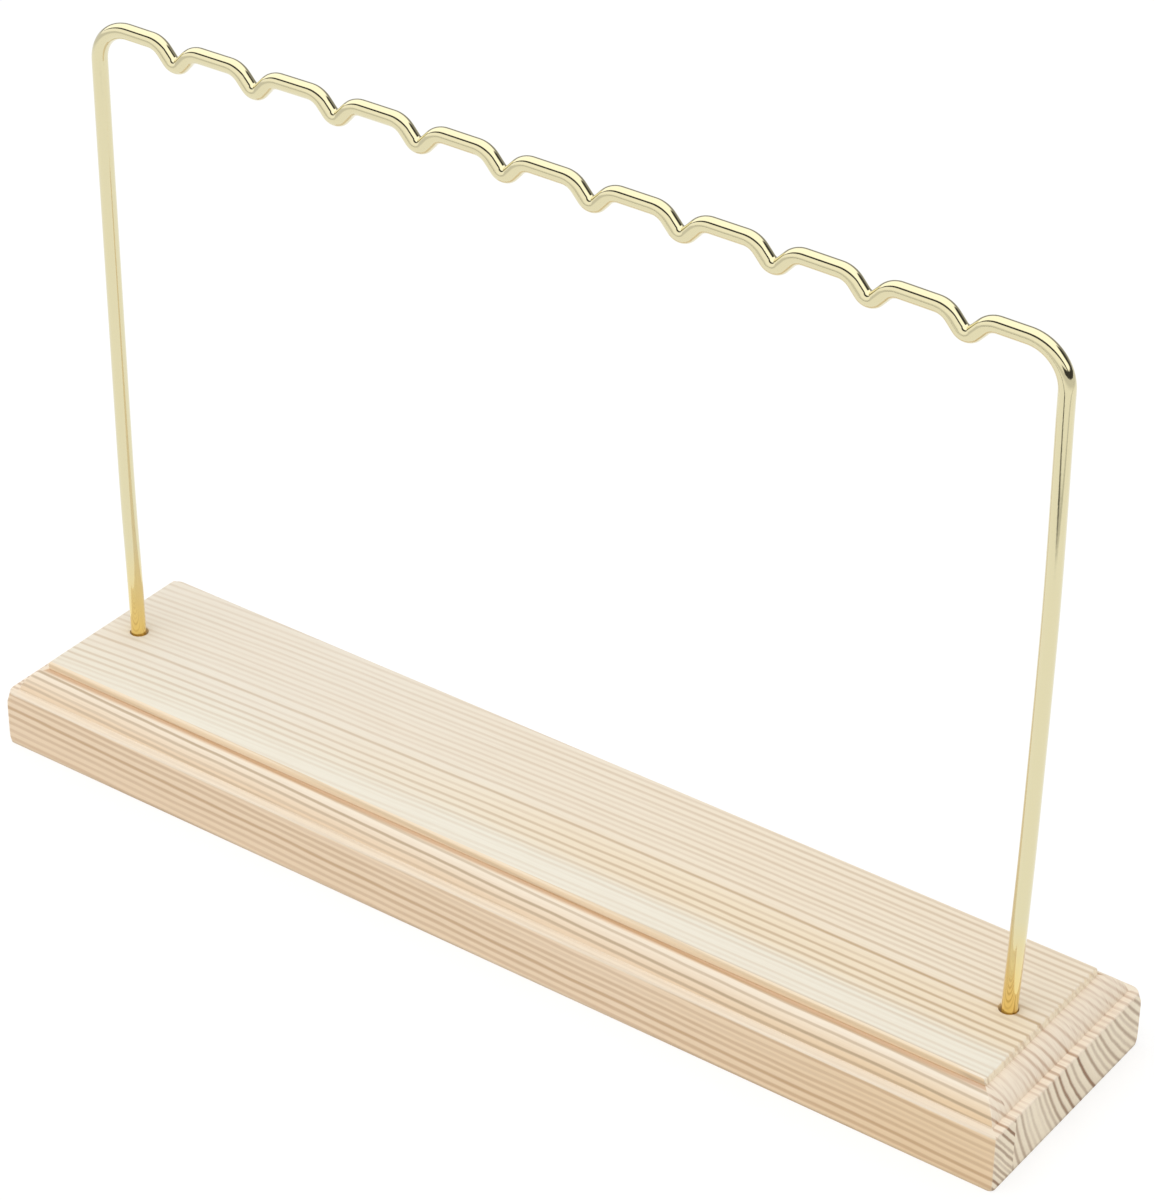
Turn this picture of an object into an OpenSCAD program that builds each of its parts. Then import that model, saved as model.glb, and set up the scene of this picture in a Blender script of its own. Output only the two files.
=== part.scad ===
// Earring display stand: a pine board with a moulded edge carries one bent wire frame,
// whose level top bar is notched so that hooks hang at even distances.
// Sizes are in millimetres. The origin is the centre of the board's underside, +Z is up,
// +X runs along the board and +Y runs from its front edge to its back edge.

/* [Base board] */
// Length of the board
base_length = 260; // [230:1:340]
// Width of the board, front to back
base_width = 58; // [48:1:90]
// Thickness of the board
base_thickness = 20.5; // [18:0.5:32]
// Radius of the eased bottom edges
bottom_easing = 0.4; // [0.2:0.1:2]
// How far the sanded flat on each upright corner reaches along each side
corner_flat = 0.7; // [0.3:0.1:2]

/* [Moulded edge] */
// Width of the moulding, from the edge of the board in to the flat top
moulding_width = 7; // [5:0.1:10]
// Height of the small step from the flat top down to the moulding
step_height = 1.7; // [0.5:0.1:2.5]
// Radius of the rounded slope below the step
sweep_radius = 9.6; // [6:0.2:40]
// Drop from the flat top to the narrow shelf at the foot of the rounded slope
shelf_drop = 6.5; // [5:0.1:8]
// Width of the narrow shelf, from the slope to its own rounded edge
shelf_width = 1.2; // [0.2:0.1:2]
// Radius of the shelf's outer edge, down to the side of the board
lip_radius = 0.6; // [0.3:0.1:2]

/* [Leg holes] */
// Distance from each end of the board to the middle of its leg hole
hole_inset = 15; // [12:0.1:20]
// Depth of the blind leg holes below the flat top
hole_depth = 14; // [8:0.5:15]
// How much wider a leg hole is than the wire
hole_clearance = 0.7; // [0.3:0.1:1.5]

/* [Wire frame] */
// Diameter of the wire
wire_diameter = 3.5; // [2.5:0.1:4]
// Height of the top of the bar above the table
frame_height = 173.8; // [120:0.2:240]
// Radius of the two top corners, at the middle of the wire
corner_radius = 8.6; // [5:0.1:12]
// How far the foot of each leg stands outwards from the middle of its hole
leg_spring = 0.1; // [0:0.02:0.15]
// How far each leg leans outwards on its way up, in degrees
leg_lean = 0.45; // [0:0.05:0.5]

/* [Notches] */
// Number of notches in the bar
notch_count = 10; // [4:1:12]
// Distance from the outside of each bent corner's middle line to the middle of the nearest notch
end_notch_distance = 21.4; // [18:0.1:26]
// Drop of the middle of the wire from the bar to the root of a notch
notch_depth = 4; // [3:0.1:5.5]
// Slope of the sides of a notch
notch_slope = 48; // [38:1:55]
// Radius at the root of a notch, at the middle of the wire
root_radius = 2.2; // [2:0.1:3]
// Radius at the shoulders of a notch, at the middle of the wire
shoulder_radius = 4.6; // [3:0.1:6]

/* [Hidden] */

// How far a cutting shape reaches past the surface that it cuts
overshoot = 1;
// Facets of each circle in the preview
$fn = 64;

// Middle of the lip's arc, and the two ends of the rounded slope, from the board's edge
lip_centre = [-lip_radius, base_thickness - shelf_drop - lip_radius];
sweep_bottom = [-lip_radius - shelf_width, base_thickness - shelf_drop];
sweep_top = [-moulding_width, base_thickness - step_height];
sweep_chord = sweep_top - sweep_bottom;
sweep_outward = [sweep_chord[1], -sweep_chord[0]] / norm(sweep_chord);
sweep_centre = (sweep_bottom + sweep_top) / 2
    - sweep_outward * sqrt(pow(sweep_radius, 2) - pow(norm(sweep_chord) / 2, 2));

hole_x = base_length / 2 - hole_inset;
hole_diameter = wire_diameter + hole_clearance;
hole_floor = base_thickness - hole_depth;

// The leg's straight length, from the rim of its foot on the hole's floor to the bent corner
bar_z = frame_height - wire_diameter / 2;
leg_rise = bar_z - corner_radius - hole_floor - (corner_radius + wire_diameter / 2) * sin(leg_lean);
leg_length = leg_rise / cos(leg_lean);
corner_x = hole_x + leg_spring + leg_length * sin(leg_lean) + corner_radius * (1 - cos(leg_lean));
notch_pitch = 2 * (corner_x - end_notch_distance) / (notch_count - 1);
first_notch_x = end_notch_distance - corner_x;

// The pieces of wire are joined at this scale, at which a rounded last digit opens no joint
wire_scale = 0.01;
// How far past its middle each half of a straight run of the bar is drawn
run_overlap = 0.5;

// Places on one side of a notch, with the middle of the bar at height 0
root_centre = [0, root_radius - notch_depth];
flank_bottom = root_centre + root_radius * [sin(notch_slope), -cos(notch_slope)];
flank_drop = notch_depth - (root_radius + shoulder_radius) * (1 - cos(notch_slope));
flank_length = flank_drop / sin(notch_slope);
notch_reach = flank_length * cos(notch_slope) + (root_radius + shoulder_radius) * sin(notch_slope);
half_run = notch_pitch / 2 - notch_reach + run_overlap;
half_end_run = (end_notch_distance - corner_radius - notch_reach) / 2 + run_overlap;

// What is cut away to round a corner of the given radius, with the corner at the origin
module corner_cut(radius) {
    difference() {
        translate([-overshoot, -overshoot]) square(radius + overshoot);
        translate([radius, radius]) circle(radius);
    }
}

// What the moulding cutter takes off, with the edge of the board at x = 0
module moulding_cut() {
    difference() {
        translate([-moulding_width, lip_centre[1]])
            square([moulding_width + overshoot, base_thickness - lip_centre[1] + overshoot]);
        translate(lip_centre) circle(lip_radius);
        translate([-moulding_width, lip_centre[1]])
            square([moulding_width - lip_radius, lip_radius]);
        intersection() {
            translate(sweep_centre) circle(sweep_radius);
            translate([-moulding_width, lip_centre[1]])
                square([moulding_width - lip_radius - shelf_width, sweep_top[1] - lip_centre[1]]);
        }
    }
}

// Cross-section of the board over the given span, standing on y = 0
module board_section(span) {
    difference() {
        translate([-span / 2, 0]) square([span, base_thickness]);
        for (side = [0, 1]) mirror([side, 0]) {
            translate([span / 2, 0]) moulding_cut();
            translate([-span / 2, 0]) corner_cut(bottom_easing);
        }
    }
}

// The board: the long and the cross section meet in mitres at the corners
module wooden_base() {
    color("wheat")
    difference() {
        intersection() {
            rotate([90, 0, 90])
                linear_extrude(base_length + 2 * overshoot, center = true) board_section(base_width);
            rotate([90, 0, 0])
                linear_extrude(base_width + 2 * overshoot, center = true) board_section(base_length);
        }
        for (end = [-1, 1], side = [-1, 1])
            translate([end * base_length / 2, side * base_width / 2, base_thickness / 2])
                rotate([0, 0, 45])
                    cube([sqrt(2) * corner_flat, sqrt(2) * corner_flat, base_thickness + 2 * overshoot],
                        center = true);
        for (end = [-1, 1])
            translate([end * hole_x, 0, hole_floor])
                cylinder(h = hole_depth + overshoot, d = hole_diameter);
    }
}

// A straight length of wire in the plane of the frame: it starts at [x, z] and runs
// straight up, or leans towards +X by an angle
module straight_wire(from, length, angle = 0) {
    translate(wire_scale * [from[0], 0, from[1]]) rotate([0, angle, 0])
        cylinder(h = wire_scale * length, d = wire_scale * wire_diameter);
}

// A bend in the plane of the frame: an arc about [x, z], with angles counted from +X to +Z
module wire_bend(centre, radius, start, sweep) {
    translate(wire_scale * [centre[0], 0, centre[1]]) rotate([90, 0, 0]) rotate([0, 0, start])
        rotate_extrude(angle = sweep) translate([wire_scale * radius, 0])
            circle(d = wire_scale * wire_diameter);
}

// The right-hand half of a notch, and a straight run of the given length beside it
module half_notch(run) {
    wire_bend(root_centre, root_radius, 270, notch_slope);
    straight_wire(flank_bottom, flank_length, 90 - notch_slope);
    wire_bend([notch_reach, -shoulder_radius], shoulder_radius, 90, notch_slope);
    straight_wire([notch_reach, 0], run, 90);
}

// The right-hand leg, its bent corner and the end of the bar, with the middle of the bar at height 0
module leg() {
    translate(wire_scale * [corner_x - corner_radius, 0, 0]) {
        straight_wire([0, 0], half_end_run, -90);
        translate(wire_scale * [0, 0, -corner_radius]) rotate([0, leg_lean, 0]) {
            wire_bend([0, 0], corner_radius, 0, 90 + leg_lean);
            straight_wire([corner_radius, 0], leg_length, 180);
        }
    }
}

// The wire frame: a leg in each hole, two bent corners and the notched bar
module wire_frame() {
    last = notch_count - 1;
    color("palegoldenrod")
    scale(1 / wire_scale)
    translate(wire_scale * [0, 0, bar_z]) {
        for (i = [0:last])
            translate(wire_scale * [first_notch_x + i * notch_pitch, 0, 0]) {
                half_notch(i == last ? half_end_run : half_run);
                mirror([1, 0, 0]) half_notch(i == 0 ? half_end_run : half_run);
            }
        leg();
        mirror([1, 0, 0]) leg();
    }
}

wooden_base();
wire_frame();
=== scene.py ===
"""Looks of the earring display stand: a moulded pine board and a notched wire frame.

Everything is worked out in millimetres in the frame of the solids (+X along the board, +Y to
its back, +Z up) and becomes metres when it is put into a mesh.
"""

import bmesh
import bpy
import numpy as np
from mathutils import Matrix, Vector
from mathutils.geometry import delaunay_2d_cdt


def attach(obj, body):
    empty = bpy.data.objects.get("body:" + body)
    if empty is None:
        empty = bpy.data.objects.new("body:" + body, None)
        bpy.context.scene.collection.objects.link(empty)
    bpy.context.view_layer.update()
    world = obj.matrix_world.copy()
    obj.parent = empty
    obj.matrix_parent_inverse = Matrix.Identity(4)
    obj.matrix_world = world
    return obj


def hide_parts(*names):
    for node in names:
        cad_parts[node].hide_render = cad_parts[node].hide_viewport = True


MM = 0.001

# The board, in millimetres, as the solid has it, with the finer radii of the worn wood
LENGTH, WIDTH, THICKNESS = 260.0, 58.0, 20.5
MOULDING, STEP, SHELF_Z, FACE_TOP = 7.0, 1.7, 13.85, 13.5
SWEEP_FOOT, SWEEP_RADIUS, LIP_RADIUS, EASING = 2.15, 6.6, 0.35, 0.12
STEP_FOOT, STEP_EDGE_RADIUS = THICKNESS - STEP, 0.4
HOLE_X, HOLE_RADIUS, HOLE_FLOOR, HOLE_MOUTH = 115.0, 2.1, 6.5, 2.3
# How far from the board's middle the two mitre lines of an end would meet
MITRE_X = (LENGTH - WIDTH) / 2
# Where the strip along the front is glued on
GLUE_Y = -21.3
# The wire, in millimetres, as the solid has it
WIRE_RADIUS, BAR_Z, CORNER_RADIUS, CORNER_X = 1.75, 172.05, 8.6, 116.332
NOTCHES, END_NOTCH, NOTCH_DEPTH, NOTCH_SLOPE = 10, 21.4, 4.0, np.radians(48)
ROOT_RADIUS, SHOULDER_RADIUS = 2.2, 4.6
# The hand-bent frame bows a little, as the photo shows: the middle of each leg as (height,
# distance outwards), and how far the bar lies below its height as (x, drop)
LEFT_LEG = [
    (6.5, 115.1), (20.5, 115.15), (38, 115.45), (50, 115.85), (62, 116.03), (87, 116.14),
    (113, 116.23), (139, 116.31), (160, 116.332), (175, 116.332)]
RIGHT_LEG = [
    (6.5, 115.1), (18, 115.12), (24, 115.26), (38, 115.72), (50, 116.04), (62, 116.29),
    (87, 116.63), (100, 116.78), (113, 116.88), (126, 116.83), (139, 116.66), (152, 116.45),
    (160, 116.332), (175, 116.332)]
BAR_DROP = [(-120, 0.72), (-84, 0.66), (-63, 0.24), (-42, 0), (55, 0), (84, 0.3), (107, 0.68),
            (120, 0.7)]

# Growth rings of the board's main piece as (place, darkness), counted in millimetres along +Y
# where they come out on the flat top at its right end
MAIN_RINGS = [
    (-31.2, 0.6), (-29.3, 0.6), (-27.4, 0.6), (-25.4, 0.6), (-23.4, 0.6), (-21.3, 0.55),
    (-19.8, 0.22), (-18.3, 0.32), (-16.3, 0.12), (-15.0, 0.42), (-13.4, 0.42), (-12.0, 0.7),
    (-9.8, 0.85), (-7.8, 0.92), (-5.4, 0.9), (-3.3, 0.5), (-0.95, 1.08), (2.0, 0.71),
    (3.9, 0.38), (5.5, 0.5), (7.1, 0.63), (9.2, 0.55), (10.8, 0.35), (12.5, 0.63), (14.2, 0.35),
    (15.5, 0.55), (17.5, 0.63), (19.5, 0.63), (21.1, 0.42), (23.0, 0.5), (25.2, 0.5),
    (27.3, 0.42), (29.6, 0.5), (31.4, 0.42), (33.5, 0.5)]
# Growth rings of the strip along the front, counted square to them from the front bottom edge
STRIP_RINGS = [
    (-4.6, 0.5), (-2.98, 0.5), (-1.7, 0.4), (-0.42, 0.5), (0.83, 0.7), (2.24, 0.9), (3.65, 0.6),
    (4.74, 0.65), (5.76, 0.3), (6.66, 0.5), (8.0, 0.7), (9.1, 0.5), (10.6, 0.85), (12.2, 1.1),
    (14.3, 0.75), (16.2, 0.85), (17.8, 0.7), (19.3, 0.6)]
# How the rings wander along the board as (x, shift): the main piece's along +Y, the strip's upwards
MAIN_DRIFT = [(-130, -6.6), (-118, -5.6), (-100, -4.25), (-80, -3.25), (-60, -2.5), (-40, -2.05),
              (-20, -1.25), (0, -0.75), (20, -0.4), (40, -0.05), (70, 0), (130, 0)]
STRIP_DRIFT = [(-130, 6.1), (-120, 5.85), (-100, 5.3), (-80, 4.75), (-60, 4.4), (-40, 3.65),
               (-20, 3.15), (0, 2.55), (20, 1.95), (40, 1.65), (60, 0.9), (80, 0.45), (100, 0.65),
               (120, 0), (130, -0.3)]
# A colour ramp takes 32 stops and a ring four of them; its greys are shares of the darkest ring
RINGS_PER_RAMP, DARKEST = 7, 1.5

# Points along each end of the board, close enough for the torn step, and along its long sides
END_POINTS, LONG_POINTS = 241, 209
HOLE_SIDES, WIRE_SIDES = 40, 28

# The camera: its heading, tilt and roll, how far it stands off, how far it looks beside and above
# the origin, and its focal length in pixels of a photo 1200 pixels high
YAW, ELEVATION, ROLL = np.radians([35.689, 32.756, 0.554])
DISTANCE, LOOK_RIGHT, LOOK_UP = 870.255, 7.014, 61.561
FOCAL_PIXELS, PHOTO_HEIGHT, SENSOR = 4016.113, 1200.0, 36.0

# Brightness of the bright sheet overhead, which the wire reflects
SHEET = 1.4


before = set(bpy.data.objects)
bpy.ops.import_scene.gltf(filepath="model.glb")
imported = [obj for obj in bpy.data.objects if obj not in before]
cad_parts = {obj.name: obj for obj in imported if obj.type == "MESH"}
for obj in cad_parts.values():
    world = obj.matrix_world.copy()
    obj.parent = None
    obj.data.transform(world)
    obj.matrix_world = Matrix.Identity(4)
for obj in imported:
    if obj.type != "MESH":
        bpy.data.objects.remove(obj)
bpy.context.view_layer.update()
scene = bpy.context.scene


def photo_camera():
    """The camera at the photo's angle.

    Back is the direction (sin yaw cos tilt, -cos yaw cos tilt, sin tilt). Level and upright stand
    square to it, and right and up are those two turned by the roll. The camera stands at
    right x beside + up x above + back x distance.
    """
    back = np.array([np.sin(YAW) * np.cos(ELEVATION), -np.cos(YAW) * np.cos(ELEVATION),
                     np.sin(ELEVATION)])
    level = np.array([np.cos(YAW), np.sin(YAW), 0.0])
    upright = np.cross(back, level)
    right = np.cos(ROLL) * level + np.sin(ROLL) * upright
    up = -np.sin(ROLL) * level + np.cos(ROLL) * upright
    place = (right * LOOK_RIGHT + up * LOOK_UP + back * DISTANCE) * MM
    lens = bpy.data.cameras.new("camera")
    lens.sensor_width = SENSOR
    lens.lens = SENSOR * FOCAL_PIXELS / PHOTO_HEIGHT
    lens.clip_start, lens.clip_end = 0.05, 60.0
    camera = bpy.data.objects.new("camera", lens)
    turned = np.column_stack([right, up, back, place])
    camera.matrix_world = Matrix(np.vstack([turned, [0, 0, 0, 1]]))
    scene.collection.objects.link(camera)
    scene.camera = camera


def put_mesh(name, points, faces, smooth_angle):
    """A mesh object at the origin from points in millimetres and lists of point numbers.

    Points that share a place are joined, so that the surface is closed, and its faces are turned
    outwards. Edges sharper than the angle stay sharp.
    """
    mesh = bpy.data.meshes.new(name)
    mesh.from_pydata((np.asarray(points) * MM).tolist(), [], faces)
    mesh.polygons.foreach_set("use_smooth", np.ones(len(mesh.polygons), bool))
    mesh.update()
    mesh.set_sharp_from_angle(angle=np.radians(smooth_angle))
    obj = bpy.data.objects.new(name, mesh)
    scene.collection.objects.link(obj)
    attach(obj, "root")
    shape = bmesh.new()
    shape.from_mesh(mesh)
    bmesh.ops.remove_doubles(shape, verts=shape.verts, dist=2e-7)
    bmesh.ops.recalc_face_normals(shape, faces=shape.faces)
    shape.to_mesh(mesh)
    shape.free()
    return obj


def ring_faces(rings, sides, first=0):
    """Four-sided faces between neighbouring rings of points; each ring joins its own ends."""
    ring, side = np.meshgrid(np.arange(rings - 1), np.arange(sides), indexing="ij")
    following = (side + 1) % sides
    corners = [ring * sides + side, ring * sides + following,
               (ring + 1) * sides + following, (ring + 1) * sides + side]
    return (first + np.stack(corners, -1).reshape(-1, 4)).tolist()


def arc(centre, radius, start, end, steps):
    """Points on a circle from one angle to another in degrees: centre + radius (cos, sin)."""
    angle = np.radians(np.linspace(start, end, steps))
    return np.stack([centre[0] + radius * np.cos(angle), centre[1] + radius * np.sin(angle)], -1)


def smooth_through(x, marks, reach):
    """A smooth curve near the marks: the straight lines between them, averaged over nine places
    from one reach before x to one reach after it."""
    places, values = np.array(marks, float).T
    return sum(np.interp(x + d, places, values) for d in np.linspace(-reach, reach, 9)) / 9


def board_profile():
    """Half of the board's section as (distance in from the edge, height), from the underside up.

    An eased bottom edge, the upright face, its small rounded top edge, a narrow shelf, the
    rounded slope up to the foot of the step, and the step with a barely broken edge. The slope is
    an arc through its two ends, and its centre lies on the board's side of their chord, at
    sqrt(radius squared - half chord squared) from the chord's middle.
    """
    ends = np.array([[SWEEP_FOOT, SHELF_Z], [MOULDING, STEP_FOOT]])
    chord = ends[1] - ends[0]
    length = np.hypot(*chord)
    inward = np.array([chord[1], -chord[0]]) / length
    centre = ends[0] + chord / 2 + inward * np.sqrt(SWEEP_RADIUS**2 - (length / 2) ** 2)
    foot, head = [np.degrees(np.arctan2(*(end - centre)[::-1])) % 360 for end in ends]
    step_top = THICKNESS - STEP_EDGE_RADIUS
    parts = [
        arc((EASING, EASING), EASING, 270, 180, 6),
        np.stack([np.zeros(10), np.linspace(EASING, FACE_TOP, 12)[1:-1]], -1),
        arc((LIP_RADIUS, FACE_TOP), LIP_RADIUS, 180, 90, 8),
        np.stack([np.linspace(LIP_RADIUS, SWEEP_FOOT, 5)[1:-1], np.full(3, SHELF_Z)], -1),
        arc(centre, SWEEP_RADIUS, foot, head, 20),
        np.stack([np.full(3, MOULDING), np.linspace(STEP_FOOT, step_top, 4)[1:]], -1),
        arc((MOULDING + STEP_EDGE_RADIUS, step_top), STEP_EDGE_RADIUS, 180, 90, 5)[1:],
    ]
    return np.concatenate(parts)


def loop_round(inset, radii):
    """The outline of the board at a distance in from its edge, with rounded corners, as (x, y).

    The corners are arcs, each of its own radius: front right, back right, back left, front left.
    A side runs from one arc's end to the next arc's start by shares s = t - sin(2 pi t) / (4 pi)
    of its length for even steps of t, so that its points lie closer together near its ends.
    """
    half = np.array([LENGTH / 2 - inset, WIDTH / 2 - inset])
    signs = [(1, -1), (1, 1), (-1, 1), (-1, -1)]
    turns = [arc((sx * (half[0] - r), sy * (half[1] - r)), r, 270 + 90 * i, 360 + 90 * i, 7)
             for i, ((sx, sy), r) in enumerate(zip(signs, radii))]
    points = []
    for i, turn in enumerate(turns):
        even = np.linspace(0, 1, LONG_POINTS if i % 2 else END_POINTS)[1:-1, None]
        steps = even - 0.5 * np.sin(2 * np.pi * even) / (2 * np.pi)
        points += [turn, turn[-1] + (turns[(i + 1) % 4][0] - turn[-1]) * steps]
    return np.concatenate(points)


def corner_radii(inset, height):
    """How the corners are rounded at one place of the profile, for the four corners in turn.

    All are nearly sharp, 0.45 mm, and rounder at the very bottom by 0.9 exp(-height / 0.7).
    Over the last 3 mm below the shelf the corners at the back right and the front left are sanded
    round, by up to 2 mm along a smooth step. The shelf's inner line is mitred, and the flat top's
    own corners are rounded by 0.3 to 0.5 mm, at the back left by 2.2 mm.
    """
    plain_corner = 0.45 + 0.9 * np.exp(-height / 0.7)
    sanding_foot = 10.5
    rise = np.clip((height - sanding_foot) / (SHELF_Z - sanding_foot), 0, 1)
    sanded = plain_corner + 2.0 * rise * rise * (3 - 2 * rise)
    fade = np.clip(1 - (inset - LIP_RADIUS) / (SWEEP_FOOT - LIP_RADIUS), 0, 1)
    top = np.clip((inset - MOULDING + 1.5) / 1.5, 0, 1)
    mitres = 0.2 + top * np.array([0.1, 0.2, 2.0, 0.3])
    return [mitre + (max(radius - inset, mitre) - mitre) * fade
            for mitre, radius in zip(mitres, (plain_corner, sanded, plain_corner, sanded))]


def torn_edge(y):
    """How far the step's sharp edge has crumbled back at a place along the right end, in mm.

    0.1, plus 0.6 times the darkness of the nearest ring for a tooth that falls off in a straight
    line to nothing at 0.5 mm from it. The tooth's middle lies 0.35 mm in front of the ring.
    """
    places, darkness = np.array(MAIN_RINGS).T
    gaps = np.abs(y[:, None] - places + 0.35)
    return 0.1 + 0.6 * (darkness * np.clip(1 - gaps / 0.5, 0, 1)).max(1)


def board_sides():
    """The board's sides as rings of points from the underside up to the rim of the flat top: each
    point of the profile is carried round its own outline. Along the right end, the points of the
    step's upper edge are set back where it has crumbled."""
    crumbled_from, right_end = THICKNESS - 0.9, LENGTH / 2 - 10
    rings = []
    for inset, height in board_profile():
        outline = loop_round(inset, corner_radii(inset, height))
        if height > crumbled_from and inset >= MOULDING:
            outline[:, 0] -= np.where(outline[:, 0] > right_end, torn_edge(outline[:, 1]), 0)
        rings.append(np.column_stack([outline, np.full(len(outline), height)]))
    return rings


def flat_top(rim, mouths):
    """The flat top as points and triangles: its rim, the mouths of the two holes and points 4 mm
    apart between them, joined to triangles inside the rim, less those with all three corners on
    one mouth, which lie inside that mouth."""
    xs, ys = np.meshgrid(np.arange(-120, 121, 4.0), np.arange(-20, 21, 4.0))
    inner = np.column_stack([xs.ravel(), ys.ravel()])
    clear_of_hole = HOLE_MOUTH + 0.9
    for side in (-1, 1):
        inner = inner[np.hypot(inner[:, 0] - side * HOLE_X, inner[:, 1]) > clear_of_hole]
    edges, first = [], 0
    for ring in [rim] + mouths:
        edges += [(first + i, first + (i + 1) % len(ring)) for i in range(len(ring))]
        first += len(ring)
    flat = np.concatenate([rim] + mouths + [inner])
    made = delaunay_2d_cdt([Vector(p) for p in flat], edges, [], 1, 1e-7)
    top = np.array([tuple(v) for v in made[0]])
    triangles = np.array([face for face in made[2] if len(face) == 3])
    for side in (-1, 1):
        on_mouth = np.hypot(top[:, 0] - side * HOLE_X, top[:, 1]) < HOLE_MOUTH + 0.01
        triangles = triangles[~on_mouth[triangles].all(1)]
    return np.column_stack([top, np.full(len(top), THICKNESS)]), triangles


def wooden_board():
    """The board: its profile carried round the outline, a flat top with two blind holes, which are
    circles carried down, and a flat underside."""
    sides = board_sides()
    columns = len(sides[0])
    points = np.concatenate(sides)
    faces = ring_faces(len(sides), columns)

    turns = np.arange(HOLE_SIDES) / HOLE_SIDES * 2 * np.pi
    circle = np.stack([np.cos(turns), np.sin(turns)], -1)
    mouths = [np.array([side * HOLE_X, 0]) + circle * HOLE_MOUTH for side in (-1, 1)]
    top, triangles = flat_top(sides[-1][:, :2], mouths)
    faces += (triangles + len(points)).tolist()
    points = np.concatenate([points, top])

    # a hole's wall as (radius, height), from its broken edge to its floor
    wall = [(HOLE_MOUTH, THICKNESS), (HOLE_RADIUS + 0.07, THICKNESS - 0.06),
            (HOLE_RADIUS, THICKNESS - 0.2), (HOLE_RADIUS, THICKNESS - 5),
            (HOLE_RADIUS, HOLE_FLOOR + 3), (HOLE_RADIUS, HOLE_FLOOR)]
    for side in (-1, 1):
        first = len(points)
        rings = [np.column_stack([side * HOLE_X + circle[:, 0] * radius, circle[:, 1] * radius,
                                  np.full(HOLE_SIDES, height)]) for radius, height in wall]
        points = np.concatenate([points] + rings)
        faces += [face[::-1] for face in ring_faces(len(wall), HOLE_SIDES, first)]
        faces.append(list(range(len(points) - HOLE_SIDES, len(points))))
    faces.append(list(range(columns))[::-1])
    return put_mesh("board", points, faces, 35)


def straight_run(start, end):
    """Five evenly spaced points inside a straight run of the bar from one x to another."""
    return np.column_stack([np.linspace(start, end, 7)[1:-1], np.full(5, BAR_Z)])


def frame_centreline():
    """The middle of the wire in the plane of the frame as (x, z), from the left foot to the right.

    A leg, a quarter circle, then for each notch a shoulder arc, a slope, the root arc, a slope and
    a shoulder arc, with straight runs between, a quarter circle and the other leg. A slope takes
    the drop that the two arcs leave: (depth - (root radius + shoulder radius)(1 - cos slope)) /
    sin slope. The legs follow their measured bows, and the bar is lowered by its drop, which fades
    out down the legs from 165 to 110 mm.
    """
    pitch = 2 * (CORNER_X - END_NOTCH) / (NOTCHES - 1)
    turn = 1 - np.cos(NOTCH_SLOPE)
    flank = (NOTCH_DEPTH - (ROOT_RADIUS + SHOULDER_RADIUS) * turn) / np.sin(NOTCH_SLOPE)
    reach = flank * np.cos(NOTCH_SLOPE) + (ROOT_RADIUS + SHOULDER_RADIUS) * np.sin(NOTCH_SLOPE)
    slope = np.degrees(NOTCH_SLOPE)
    bend = arc((CORNER_X - CORNER_RADIUS, BAR_Z - CORNER_RADIUS), CORNER_RADIUS, 0, 90, 19)
    height = np.linspace(HOLE_FLOOR + 0.02, bend[0, 1], 71)[:-1]
    left_leg, right_leg = [
        np.concatenate([np.column_stack([smooth_through(height, marks, 6), height]), bend])
        for marks in (LEFT_LEG, RIGHT_LEG)]

    line = [left_leg * (-1, 1)]
    for i in range(NOTCHES):
        x = END_NOTCH - CORNER_X + i * pitch
        line += [
            straight_run(line[-1][-1, 0], x - reach),
            arc((x - reach, BAR_Z - SHOULDER_RADIUS), SHOULDER_RADIUS, 90, 90 - slope, 9),
            arc((x, BAR_Z + ROOT_RADIUS - NOTCH_DEPTH), ROOT_RADIUS, 270 - slope, 270 + slope, 13),
            arc((x + reach, BAR_Z - SHOULDER_RADIUS), SHOULDER_RADIUS, 90 + slope, 90, 9)]
    line += [straight_run(line[-1][-1, 0], right_leg[-1, 0]), right_leg[::-1]]
    line = np.concatenate(line)
    line[:, 1] -= smooth_through(line[:, 0], BAR_DROP, 9) * np.clip((line[:, 1] - 110) / 55, 0, 1)
    return line


def bent_wire():
    """The wire: a circle carried along the centreline, each point at
    centre + radius (normal cos angle + depth sin angle). Its two ends close to a point."""
    line = frame_centreline()
    along = np.gradient(line, axis=0)
    along /= np.hypot(*along.T)[:, None]
    normal = np.column_stack([-along[:, 1], along[:, 0]])
    around = np.arange(WIRE_SIDES) / WIRE_SIDES * 2 * np.pi
    # the rings that close an end: share of the radius, and place along the wire
    share, shift = np.array([(0.0, 0.0), (0.55, 0.0), (0.9, 0.08)]).T[..., None]
    centre = np.concatenate([line[0] + along[0] * shift, line[1:-1],
                             line[-1] - along[-1] * shift[::-1]])
    outward = np.concatenate([normal[[0] * 3], normal[1:-1], normal[[-1] * 3]])
    radius = WIRE_RADIUS * np.concatenate([share, np.ones((len(line) - 2, 1)), share[::-1]])
    x = centre[:, :1] + outward[:, :1] * radius * np.cos(around)
    z = centre[:, 1:] + outward[:, 1:] * radius * np.cos(around)
    y = radius * np.sin(around)
    points = np.stack([x, y, z], -1).reshape(-1, 3)
    return put_mesh("wire", points, ring_faces(len(centre), WIRE_SIDES), 60)


def linear(colour):
    """An sRGB hex colour as linear red, green, blue and alpha: c / 12.92 up to 0.04045, and
    ((c + 0.055) / 1.055) to the power 2.4 above it."""
    parts = [int(colour[i:i + 2], 16) / 255 for i in (1, 3, 5)]
    return [c / 12.92 if c <= 0.04045 else ((c + 0.055) / 1.055) ** 2.4 for c in parts] + [1.0]


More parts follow.
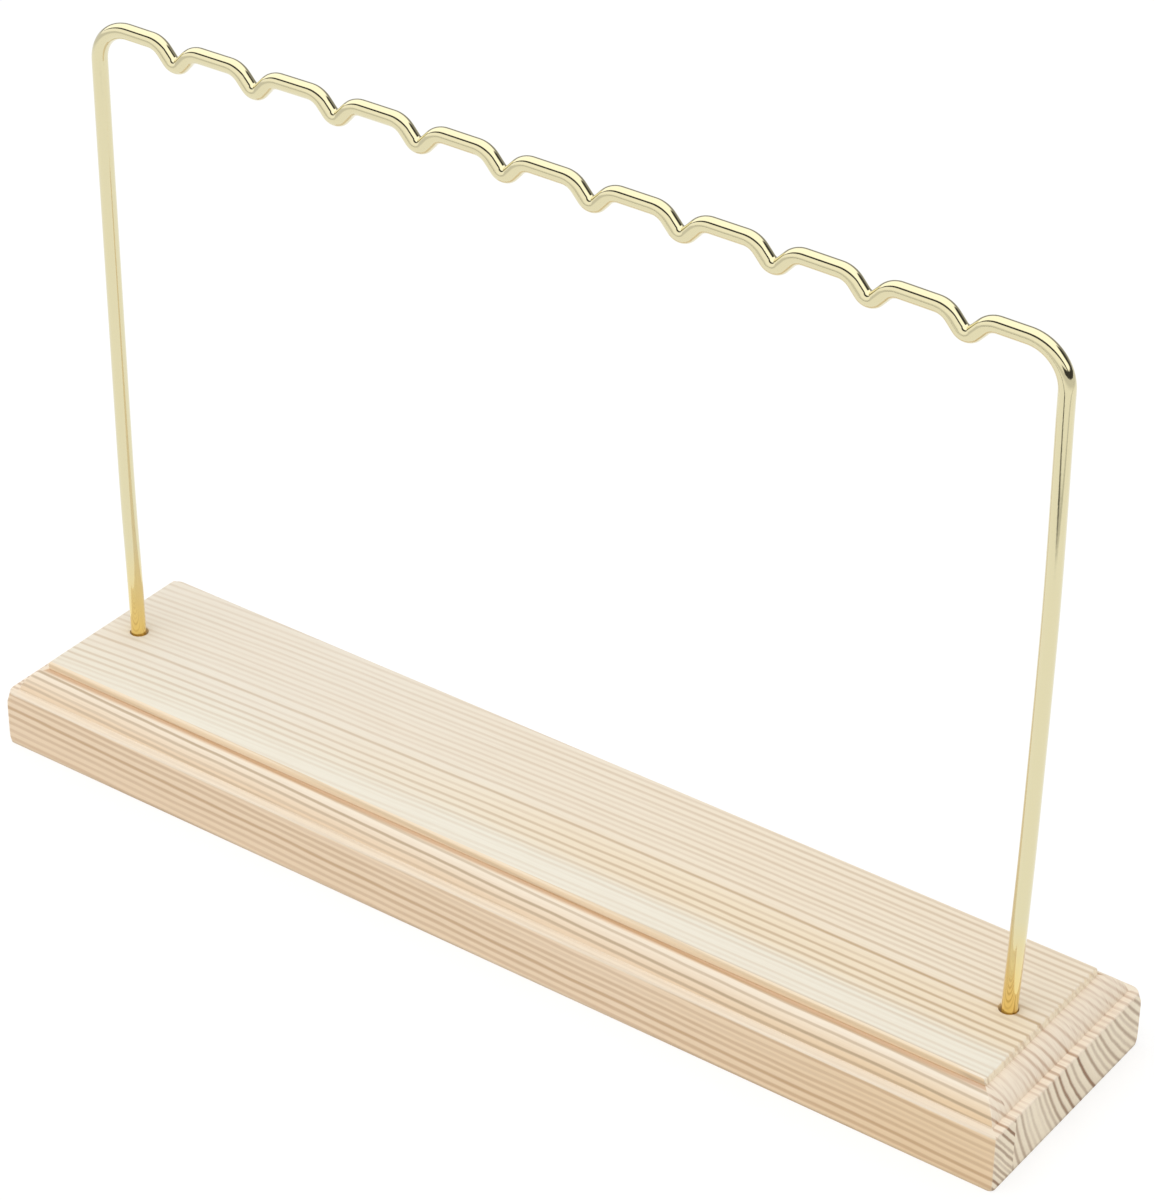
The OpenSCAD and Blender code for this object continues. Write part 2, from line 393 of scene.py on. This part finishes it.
def add(tree, kind, inputs=(), **settings):
    """Adds a node with its settings, feeds its inputs, each a value or a socket, and returns it."""
    made = tree.nodes.new("ShaderNode" + kind)
    for name, value in settings.items():
        setattr(made, name, value)
    pairs = inputs.items() if isinstance(inputs, dict) else enumerate(inputs)
    for name, value in pairs:
        socket = made.inputs[name]
        if isinstance(value, bpy.types.NodeSocket):
            tree.links.new(value, socket)
        elif isinstance(value, bpy.types.Node):
            tree.links.new(value.outputs[0], socket)
        else:
            socket.default_value = value
    return made


def new_material(name):
    """An empty node material and its tree."""
    material = bpy.data.materials.new(name)
    material.use_nodes = True
    material.node_tree.nodes.clear()
    return material, material.node_tree


def mark_rings(board):
    """Stores on each point how far it lies across the growth rings of either piece of wood, in mm.

    Main piece: m = (y - drift - 0.43 p - 0.0088 p squared) / (1 + 0.0105 p) at a depth p below the
    top, less 0.0003 p m squared behind the middle, so that the rings lean back and curve as they
    go down. Strip: 0.768 of the distance from the front and 0.64 of the height above its drift.
    """
    mesh = board.data
    flat = np.empty(len(mesh.vertices) * 3)
    mesh.vertices.foreach_get("co", flat)
    x, y, z = flat.reshape(-1, 3).T / MM
    depth = THICKNESS - z
    lean = 0.43 * depth + 0.0088 * depth**2
    main = (y - smooth_through(x, MAIN_DRIFT, 12) - lean) / (1 + 0.0105 * depth)
    main -= 0.0003 * depth * np.maximum(main, 0) ** 2
    strip = 0.768 * (y + WIDTH / 2) + 0.64 * (z - smooth_through(x, STRIP_DRIFT, 12))
    for name, values in (("main_rings", main), ("strip_rings", strip)):
        stored = mesh.attributes.new(name, "FLOAT", "POINT")
        stored.data.foreach_set("value", values.astype(np.float32))


def ring_lines(tree, coordinate, rings, fade):
    """Darkness of growth rings along a coordinate.

    Each ring darkens over the fade's millimetres, is dark for 0.3 mm and falls to 0.12 of its
    darkness over the fade again. A fade takes 0.42 of the gap to the neighbour at most. Colour
    ramps of seven rings each draw them, and their greys are added up.
    """
    total = None
    places = [place for place, _ in rings] + [rings[-1][0] + 2.0]
    for first in range(0, len(rings), RINGS_PER_RAMP):
        chosen = range(first, min(first + RINGS_PER_RAMP, len(rings)))
        low, high = places[chosen[0]] - 0.5, places[chosen[-1] + 1] - 0.4
        stops, before = [], places[chosen[0]] - 1.2
        for i in chosen:
            place, dark = rings[i]
            rise, fall = [min(fade, 0.42 * gap) for gap in (place - before, places[i + 1] - place)]
            stops += [(place - rise, 0.0), (place - 0.14, dark), (place + 0.16, dark),
                      (place + fall, 0.12 * dark)]
            before = place
        span = add(tree, "MapRange", {"Value": coordinate, "From Min": low, "From Max": high})
        ramp = add(tree, "ValToRGB", [span])
        band = ramp.color_ramp
        band.elements.remove(band.elements[1])
        band.elements[0].position, band.elements[0].color = 0.0, (0, 0, 0, 1)
        for place, dark in stops + [(high, 0.0)]:
            stop = band.elements.new(min(1.0, (place - low) / (high - low)))
            stop.color = (dark / DARKEST, dark / DARKEST, dark / DARKEST, 1)
        total = ramp if total is None else add(tree, "Math", [total, ramp], operation="ADD")
    return add(tree, "Math", [total, DARKEST], operation="MULTIPLY")


def places_on_board(tree, x, y, z):
    """Where a point lies on the board, as masks from 0 to 1 of its place in millimetres.

    strip: in the strip along the front. end: past the mitres, |x| - |y| > (length - width) / 2,
    and below the flat top; above the upright face it is combed, and on that face it is end_face.
    moulded: the strip above its upright face. ledge: the narrow shelf all round. front: where the
    surface faces the front.
    """
    strip = add(tree, "Math", [y, GLUE_Y], operation="LESS_THAN")
    normal_y = add(tree, "SeparateXYZ", [add(tree, "TexCoord").outputs["Normal"]]).outputs[1]
    front = add(tree, "MapRange", {"Value": normal_y, "From Min": -0.5, "From Max": -0.9})
    along = add(tree, "Math", [x], operation="ABSOLUTE")
    far = add(tree, "Math", [along, MITRE_X], operation="SUBTRACT")
    aside = add(tree, "Math", [y], operation="ABSOLUTE")
    past = add(tree, "Math", [far, aside], operation="SUBTRACT")
    end = add(tree, "MapRange", {"Value": past, "From Min": -0.05, "From Max": 0.1})
    below_top = add(tree, "MapRange", {"Value": z, "From Min": THICKNESS - 0.05,
                                       "From Max": THICKNESS - 0.2})
    above_table = add(tree, "MapRange", {"Value": z, "From Min": 0.02, "From Max": 0.2})
    for part in (below_top, above_table):
        end = add(tree, "Math", [end, part], operation="MULTIPLY")
    above = add(tree, "MapRange", {"Value": z, "From Min": FACE_TOP - 0.3,
                                   "From Max": FACE_TOP + 0.1})
    end_face = add(tree, "Math", [end, above], operation="SUBTRACT", use_clamp=True)
    combed = add(tree, "Math", [end, above], operation="MULTIPLY")
    moulded = add(tree, "Math", [strip, above], operation="MULTIPLY")
    low_part = add(tree, "MapRange", {"Value": z, "From Min": SHELF_Z + 0.3,
                                      "From Max": SHELF_Z + 0.1})
    ledge = add(tree, "Math", [low_part, above], operation="MULTIPLY")
    return {"strip": strip, "front": front, "end": end, "end_face": end_face, "combed": combed,
            "moulded": moulded, "ledge": ledge}


def latewood_share(tree, x, z, dark, fibres, comb, on):
    """How much a point is latewood: the darkness of its ring times a strength, plus a streak.

    The lines grow stronger towards the right end of the top and on the end grain, and are faint on
    the ledge. Streaks are +- 0.14, and on the ends' moulding they are combed across.
    """
    strength = add(tree, "MapRange", {"Value": x, "From Min": -60.0, "From Max": 100.0,
                                      "To Min": 0.5, "To Max": 0.88})
    bolder = add(tree, "MapRange", {"Value": x, "From Min": -60.0, "From Max": 60.0,
                                    "To Min": 0.74, "To Max": 0.8})
    on_end = add(tree, "MapRange", {"Value": z, "From Min": 14.0, "From Max": STEP_FOOT,
                                    "To Min": 0.85, "To Max": 0.6})
    for place, value in (("strip", 0.8), ("moulded", bolder), ("ledge", 0.3), ("end", on_end),
                         ("end_face", 1.02)):
        strength = add(tree, "Mix", {0: on[place], 2: strength, 3: value}, data_type="FLOAT")
    streaks = add(tree, "MapRange", {"Value": fibres, "To Min": -0.14, "To Max": 0.14})
    combs = add(tree, "MapRange", {"Value": comb, "From Min": 0.3, "From Max": 0.7,
                                   "To Min": -0.18, "To Max": 0.14})
    streaks = add(tree, "Mix", {0: on["combed"], 2: streaks, 3: combs}, data_type="FLOAT")
    lines = add(tree, "Math", [dark, strength], operation="MULTIPLY")
    return add(tree, "Math", [lines, streaks], operation="ADD")


def earlywood(tree, x, y, z, main_place, on):
    """The pale wood between the lines: warmer towards the right, cream along the front of the top,
    honey within some 5 mm of -6.5 mm across the rings on the right half, and with its own tones on
    the strip, the ledge and the ends. Painted shade darkens the strip where it faces the front,
    more so towards the right, and painted light makes the step's upright face on the ends paler."""
    warmer = add(tree, "MapRange", {"Value": x, "From Min": -70.0, "From Max": 40.0})
    cream = add(tree, "MapRange", {"Value": y, "From Min": -8.0, "From Max": -14.0})
    from_honey = add(tree, "Math", [main_place, 6.5], operation="ADD")
    from_honey = add(tree, "Math", [from_honey], operation="ABSOLUTE")
    honey = add(tree, "MapRange", {"Value": from_honey, "From Min": 7.5, "From Max": 3.5})
    for part in (warmer, 0.75):
        honey = add(tree, "Math", [honey, part], operation="MULTIPLY")
    # painted light: the step's upright face on the ends is paler, as it catches the light
    painted_riser_light = add(tree, "MapRange", {"Value": z, "From Min": STEP_FOOT - 0.05,
                                   "From Max": STEP_FOOT + 0.15})
    painted_riser_light = add(tree, "Math", [painted_riser_light, on["end"]], operation="MULTIPLY")

    # painted shade: where the strip faces the front its earlywood is darker, more so towards the
    # right
    rightwards = add(tree, "MapRange", {"Value": x, "From Min": 40.0, "From Max": 110.0})
    face = add(tree, "Mix", {0: rightwards, 6: linear("#F7E1C4"), 7: linear("#F3D9B4")},
               data_type="RGBA").outputs[2]
    strip = linear("#FDF1DD")
    for mask, colour in ((on["front"], face), (on["ledge"], linear("#F9EBD5"))):
        strip = add(tree, "Mix", {0: mask, 6: strip, 7: colour}, data_type="RGBA").outputs[2]
    pale = linear("#F5EDDC")
    for mask, colour in ((warmer, linear("#F8ECD6")), (cream, linear("#F6F1E0")),
                         (honey, linear("#F8E8CA")), (on["strip"], strip),
                         (on["end"], linear("#FBEDD7")), (painted_riser_light, linear("#FFF1D4")),
                         (on["end_face"], linear("#FFF3DA"))):
        pale = add(tree, "Mix", {0: mask, 6: pale, 7: colour}, data_type="RGBA").outputs[2]
    return pale


def pine():
    """Planed pine, sanded and left bare: cream earlywood, tan latewood lines, a faint silky shine.

    Two pieces glued side by side: the main piece, and a narrow strip along the front. The base
    colour goes from earlywood to latewood by the latewood share, and over it come a pink cloud, the
    caramel step (partly burnished wood, partly painted shade), painted shade in the inner corner
    below it and a painted contact shadow along the bottom.
    """
    material, tree = new_material("bare_pine")
    place_m = add(tree, "TexCoord").outputs["Object"]
    place = add(tree, "VectorMath", [place_m, (1 / MM, 1 / MM, 1 / MM)], operation="MULTIPLY")
    x, y, z = add(tree, "SeparateXYZ", [place]).outputs
    on = places_on_board(tree, x, y, z)

    # wander: all lines stray slowly by a tenth of a millimetre; fibres: fine streaks 0.25 mm across
    # and 12 mm long; comb: scratches on the ends' moulding; cloud: patches some centimetres long
    noises = []
    for scale, start, detail, roughness in (
            ((0.06, 0.2, 0.2), (0, 0, 0), 3.0, 0.5), ((0.08, 3.2, 3.2), (0, 0, 0), 3.0, 0.6),
            ((0.1, 2.4, 0.25), (0, 0, 0), 2.0, 0.6), ((0.02, 0.09, 0.09), (3, 8, 5), 2.0, 0.5)):
        spot = add(tree, "Mapping", {"Vector": place, "Scale": scale, "Location": start})
        noises.append(add(tree, "TexNoise", {"Vector": spot, "Scale": 1.0, "Detail": detail,
                                             "Roughness": roughness}))
    wander, fibres, comb, cloud = noises

    shift = add(tree, "MapRange", {"Value": wander, "To Min": -0.22, "To Max": 0.22})
    main_place, strip_place = [
        add(tree, "Math", [add(tree, "Attribute", attribute_name=name).outputs["Fac"], shift],
            operation="ADD") for name in ("main_rings", "strip_rings")]
    main_dark = ring_lines(tree, main_place, MAIN_RINGS, 0.6)
    strip_dark = ring_lines(tree, strip_place, STRIP_RINGS, 0.42)
    dark = add(tree, "Mix", {0: on["strip"], 2: main_dark, 3: strip_dark}, data_type="FLOAT")

    late = linear("#C2A57F")
    for mask, colour in (("strip", "#BE986E"), ("moulded", "#B7A081"), ("end", "#B99578"),
                         ("end_face", "#8E6B50")):
        late = add(tree, "Mix", {0: on[mask], 6: late, 7: linear(colour)},
                   data_type="RGBA").outputs[2]
    early = earlywood(tree, x, y, z, main_place, on)
    amount = latewood_share(tree, x, z, dark, fibres, comb, on)
    wood = add(tree, "Mix", {0: amount, 6: early, 7: late}, data_type="RGBA",
               clamp_factor=True).outputs[2]

    pinkness = add(tree, "Math", [cloud, 0.22], operation="MULTIPLY")
    # the step of the front moulding is a caramel band, partly burnished wood and partly painted
    # shade of the step's upright face, that ends a little before the right corner
    band = add(tree, "MapRange", {"Value": z, "From Min": STEP_FOOT - 0.5,
                                  "From Max": STEP_FOOT + 0.1})
    band_end = add(tree, "MapRange", {"Value": x, "From Min": 119.0, "From Max": 116.0})
    for part in (band_end, on["strip"], 0.5):
        band = add(tree, "Math", [band, part], operation="MULTIPLY")
    # painted shade: the inner corner below the step is darker along the front and the back, partly
    # burnished wood and partly the shade of the crevice
    beside = add(tree, "Math", [z, STEP_FOOT - 0.05], operation="SUBTRACT")
    beside = add(tree, "Math", [beside], operation="ABSOLUTE")
    corner = add(tree, "MapRange", {"Value": beside, "From Min": 0.12, "From Max": 0.34,
                                    "To Min": 0.55, "To Max": 0.0})
    corner = add(tree, "Math", [corner, on["end"]], operation="SUBTRACT", use_clamp=True)
    # painted shadow: the lowest half millimetre is darkened as the shade where the board stands on
    # the table
    painted_contact_shadow = add(tree, "MapRange", {"Value": z, "From Min": 0.9, "From Max": 0.2, "To Max": 0.3})
    for mask, colour in ((pinkness, "#E9CBA8"), (band, "#F8DFB8"), (corner, "#BE864C"),
                         (painted_contact_shadow, "#8C7A68")):
        wood = add(tree, "Mix", {0: mask, 6: wood, 7: linear(colour)}, data_type="RGBA").outputs[2]

    rough = add(tree, "MapRange", {"Value": fibres, "To Min": 0.55, "To Max": 0.7})
    ring_height = add(tree, "Math", [dark, 0.3], operation="MULTIPLY")
    height = add(tree, "Math", [fibres, ring_height], operation="SUBTRACT")
    bump = add(tree, "Bump", {"Height": height, "Strength": 0.3, "Distance": 0.00008})
    shader = add(tree, "BsdfPrincipled", {"Base Color": wood, "Roughness": rough, "IOR": 1.45,
                                          "Specular IOR Level": 0.3, "Normal": bump})
    add(tree, "OutputMaterial", [shader])
    return material


def plated_wire():
    """Steel wire with a bright, pale gold plating under clear lacquer: mirror-like, with the faint
    waver of drawn wire.

    Near the board the many reflections to and fro between wood and wire make it a richer gold.
    """
    material, tree = new_material("champagne_gold_plating")
    place_m = add(tree, "TexCoord").outputs["Object"]
    # draw marks and handling scuffs, about 1.5 mm long
    scuff_place = add(tree, "Mapping", {"Vector": place_m, "Scale": (700, 700, 700)})
    scuffs = add(tree, "TexNoise", {"Vector": scuff_place, "Scale": 1.0, "Detail": 3.0,
                                    "Roughness": 0.6})
    rough = add(tree, "MapRange", {"Value": scuffs, "To Min": 0.04, "To Max": 0.12})
    bump = add(tree, "Bump", {"Height": scuffs, "Strength": 0.08, "Distance": 0.00006})
    height = add(tree, "SeparateXYZ", [place_m]).outputs[2]
    low = add(tree, "MapRange", {"Value": height, "From Min": 0.044, "From Max": 0.022})
    gold = add(tree, "Mix", {0: low, 6: linear("#E1D8AE"), 7: linear("#F4D880")},
               data_type="RGBA").outputs[2]
    shader = add(tree, "BsdfPrincipled", {
        "Base Color": gold, "Metallic": 1.0, "Roughness": rough, "Normal": bump,
        "Coat Weight": 1.0, "Coat Roughness": 0.04, "Coat IOR": 1.5})
    add(tree, "OutputMaterial", [shader])
    return material


def pale_floor():
    """A wide flat floor that stays white for the camera and keeps a soft share of the shadow.

    For reflections the table ends on the camera's side in a dark gap, 305 mm from the origin
    along a heading near the camera's own: dark for 10 mm to either side, fading by 22 mm, and
    lighter from 30 to 90 mm towards the right. From half a metre out the floor turns a little grey.
    """
    mesh = bpy.data.meshes.new("floor")
    mesh.from_pydata([(-6, -6, 0), (6, -6, 0), (6, 6, 0), (-6, 6, 0)], [], [[0, 1, 2, 3]])
    floor = bpy.data.objects.new("floor", mesh)
    scene.collection.objects.link(floor)
    material, tree = new_material("white_paper")
    rays = add(tree, "LightPath")
    place_m = add(tree, "TexCoord").outputs["Object"]
    towards, aside = [add(tree, "VectorMath", [place_m, heading],
                          operation="DOT_PRODUCT").outputs["Value"]
                      for heading in ((0.633, -0.774, 0.0), (0.774, 0.633, 0.0))]
    away = add(tree, "Math", [towards, 0.305], operation="SUBTRACT")
    away = add(tree, "Math", [away], operation="ABSOLUTE")
    gap = add(tree, "MapRange", {"Value": aside, "From Min": 0.03, "From Max": 0.09,
                                 "To Min": 0.06, "To Max": 0.6})
    table = add(tree, "MapRange", {"Value": away, "From Min": 0.010, "From Max": 0.022,
                                   "To Min": gap, "To Max": 1.0})
    distance = add(tree, "VectorMath", [place_m], operation="LENGTH").outputs["Value"]
    fading = add(tree, "MapRange", {"Value": distance, "From Min": 0.5, "From Max": 0.8,
                                    "To Min": 1.0, "To Max": 0.74})
    table = add(tree, "Math", [table, fading], operation="MULTIPLY")
    glossy, seen = rays.outputs["Is Glossy Ray"], rays.outputs["Is Camera Ray"]
    light = add(tree, "Mix", {0: glossy, 2: 1.14, 3: table}, data_type="FLOAT")
    for ray in (glossy, rays.outputs["Is Transmission Ray"]):
        seen = add(tree, "Math", [seen, ray], operation="MAXIMUM")
    share = add(tree, "Math", [seen, 0.62], operation="MULTIPLY")
    share = add(tree, "Mix", {0: glossy, 2: share, 3: 1.0}, data_type="FLOAT")
    paper = add(tree, "BsdfDiffuse", {"Color": linear("#F4F3F0")})
    glow = add(tree, "Emission", {"Color": linear("#FFFFFF"), "Strength": light})
    add(tree, "OutputMaterial", [add(tree, "MixShader", [share, paper, glow])])
    mesh.materials.append(material)


def studio_world():
    """White all round for the camera and soft light for the wood; for reflections a white tent.

    The tent is white at the front up to a dark gap below the bright overhead sheet, grey at the
    back below the sheet, and dark low down on the right. Its edges run along the bar: they go by
    the rise of a direction, its height over its length across the bar, z / sqrt(1 - x squared).
    """
    world = bpy.data.worlds.new("studio")
    world.use_nodes = True
    tree = world.node_tree
    tree.nodes.clear()
    rays = add(tree, "LightPath")
    direction = add(tree, "TexCoord").outputs["Generated"]
    x, y, z = add(tree, "SeparateXYZ", [direction]).outputs
    square = add(tree, "Math", [x, x], operation="MULTIPLY")
    across = add(tree, "Math", [1.0, square], operation="SUBTRACT")
    across = add(tree, "Math", [across, 0.5], operation="POWER")
    rise = add(tree, "Math", [z, across], operation="DIVIDE")
    # brightness by the rise, at the front and at the back
    tones = []
    for marks in ([(0.0, 1.0), (0.23, 1.12), (0.64, 1.12), (0.67, 0.04), (0.86, 0.04),
                   (0.9, SHEET), (1.0, SHEET)],
                  [(0.0, 0.3), (0.48, 0.3), (0.63, SHEET), (1.0, SHEET)]):
        ramp = add(tree, "ValToRGB", [rise])
        band = ramp.color_ramp
        band.elements.remove(band.elements[1])
        for i, (mark, tone) in enumerate(marks):
            stop = band.elements.new(mark) if i else band.elements[0]
            stop.position, stop.color = mark, (tone / SHEET, tone / SHEET, tone / SHEET, 1)
        tones.append(add(tree, "Math", [ramp, SHEET], operation="MULTIPLY"))
    behind = add(tree, "MapRange", {"Value": y, "From Min": -0.15, "From Max": 0.15})
    tent = add(tree, "Mix", {0: behind, 2: tones[0], 3: tones[1]}, data_type="FLOAT")
    # dark low down on the right, and a dark patch higher up at the back right
    low = add(tree, "MapRange", {"Value": z, "From Min": 0.27, "From Max": 0.2})
    to_right = add(tree, "MapRange", {"Value": x, "From Min": 0.5, "From Max": 0.6})
    low = add(tree, "Math", [low, to_right], operation="MULTIPLY")
    patch = add(tree, "VectorMath", [direction, (0.62, 0.62, 0.48)],
                operation="DOT_PRODUCT").outputs["Value"]
    patch = add(tree, "MapRange", {"Value": patch, "From Min": 0.935, "From Max": 0.965})
    dark = add(tree, "Math", [low, patch], operation="MAXIMUM")
    tent = add(tree, "Mix", {0: dark, 2: tent, 3: 0.05}, data_type="FLOAT")
    reflected = add(tree, "Background", {"Color": (1, 1, 1, 1), "Strength": tent})
    seen = add(tree, "Background", {"Color": (1, 1, 1, 1), "Strength": 1.0})
    soft = add(tree, "Background", {"Color": linear("#FBFCFF"), "Strength": 0.78})
    shown = add(tree, "MixShader", [rays.outputs["Is Camera Ray"], soft, seen])
    mixed = add(tree, "MixShader", [rays.outputs["Is Glossy Ray"], shown, reflected])
    add(tree, "OutputWorld", [mixed])
    scene.world = world


def overhead_softbox():
    """A square softbox 0.9 m wide and 4.6 W strong, which shines down at the stand from the front
    left and shows in no reflection."""
    data = bpy.data.lights.new("overhead_softbox", "AREA")
    data.size, data.energy = 0.9, 4.6
    lamp = bpy.data.objects.new("overhead_softbox", data)
    lamp.visible_glossy = False
    lamp.location = (-0.1, -0.35, 1.25)
    heading = Vector((0, 0, 0.05)) - lamp.location
    lamp.rotation_euler = heading.to_track_quat("-Z", "Y").to_euler()
    scene.collection.objects.link(lamp)


board = wooden_board()
mark_rings(board)
board.data.materials.append(pine())
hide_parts("wooden_base")

wire = bent_wire()
wire.data.materials.append(plated_wire())
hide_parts("wire_frame")

pale_floor()
studio_world()
overhead_softbox()
photo_camera()
scene.view_settings.view_transform = "Standard"
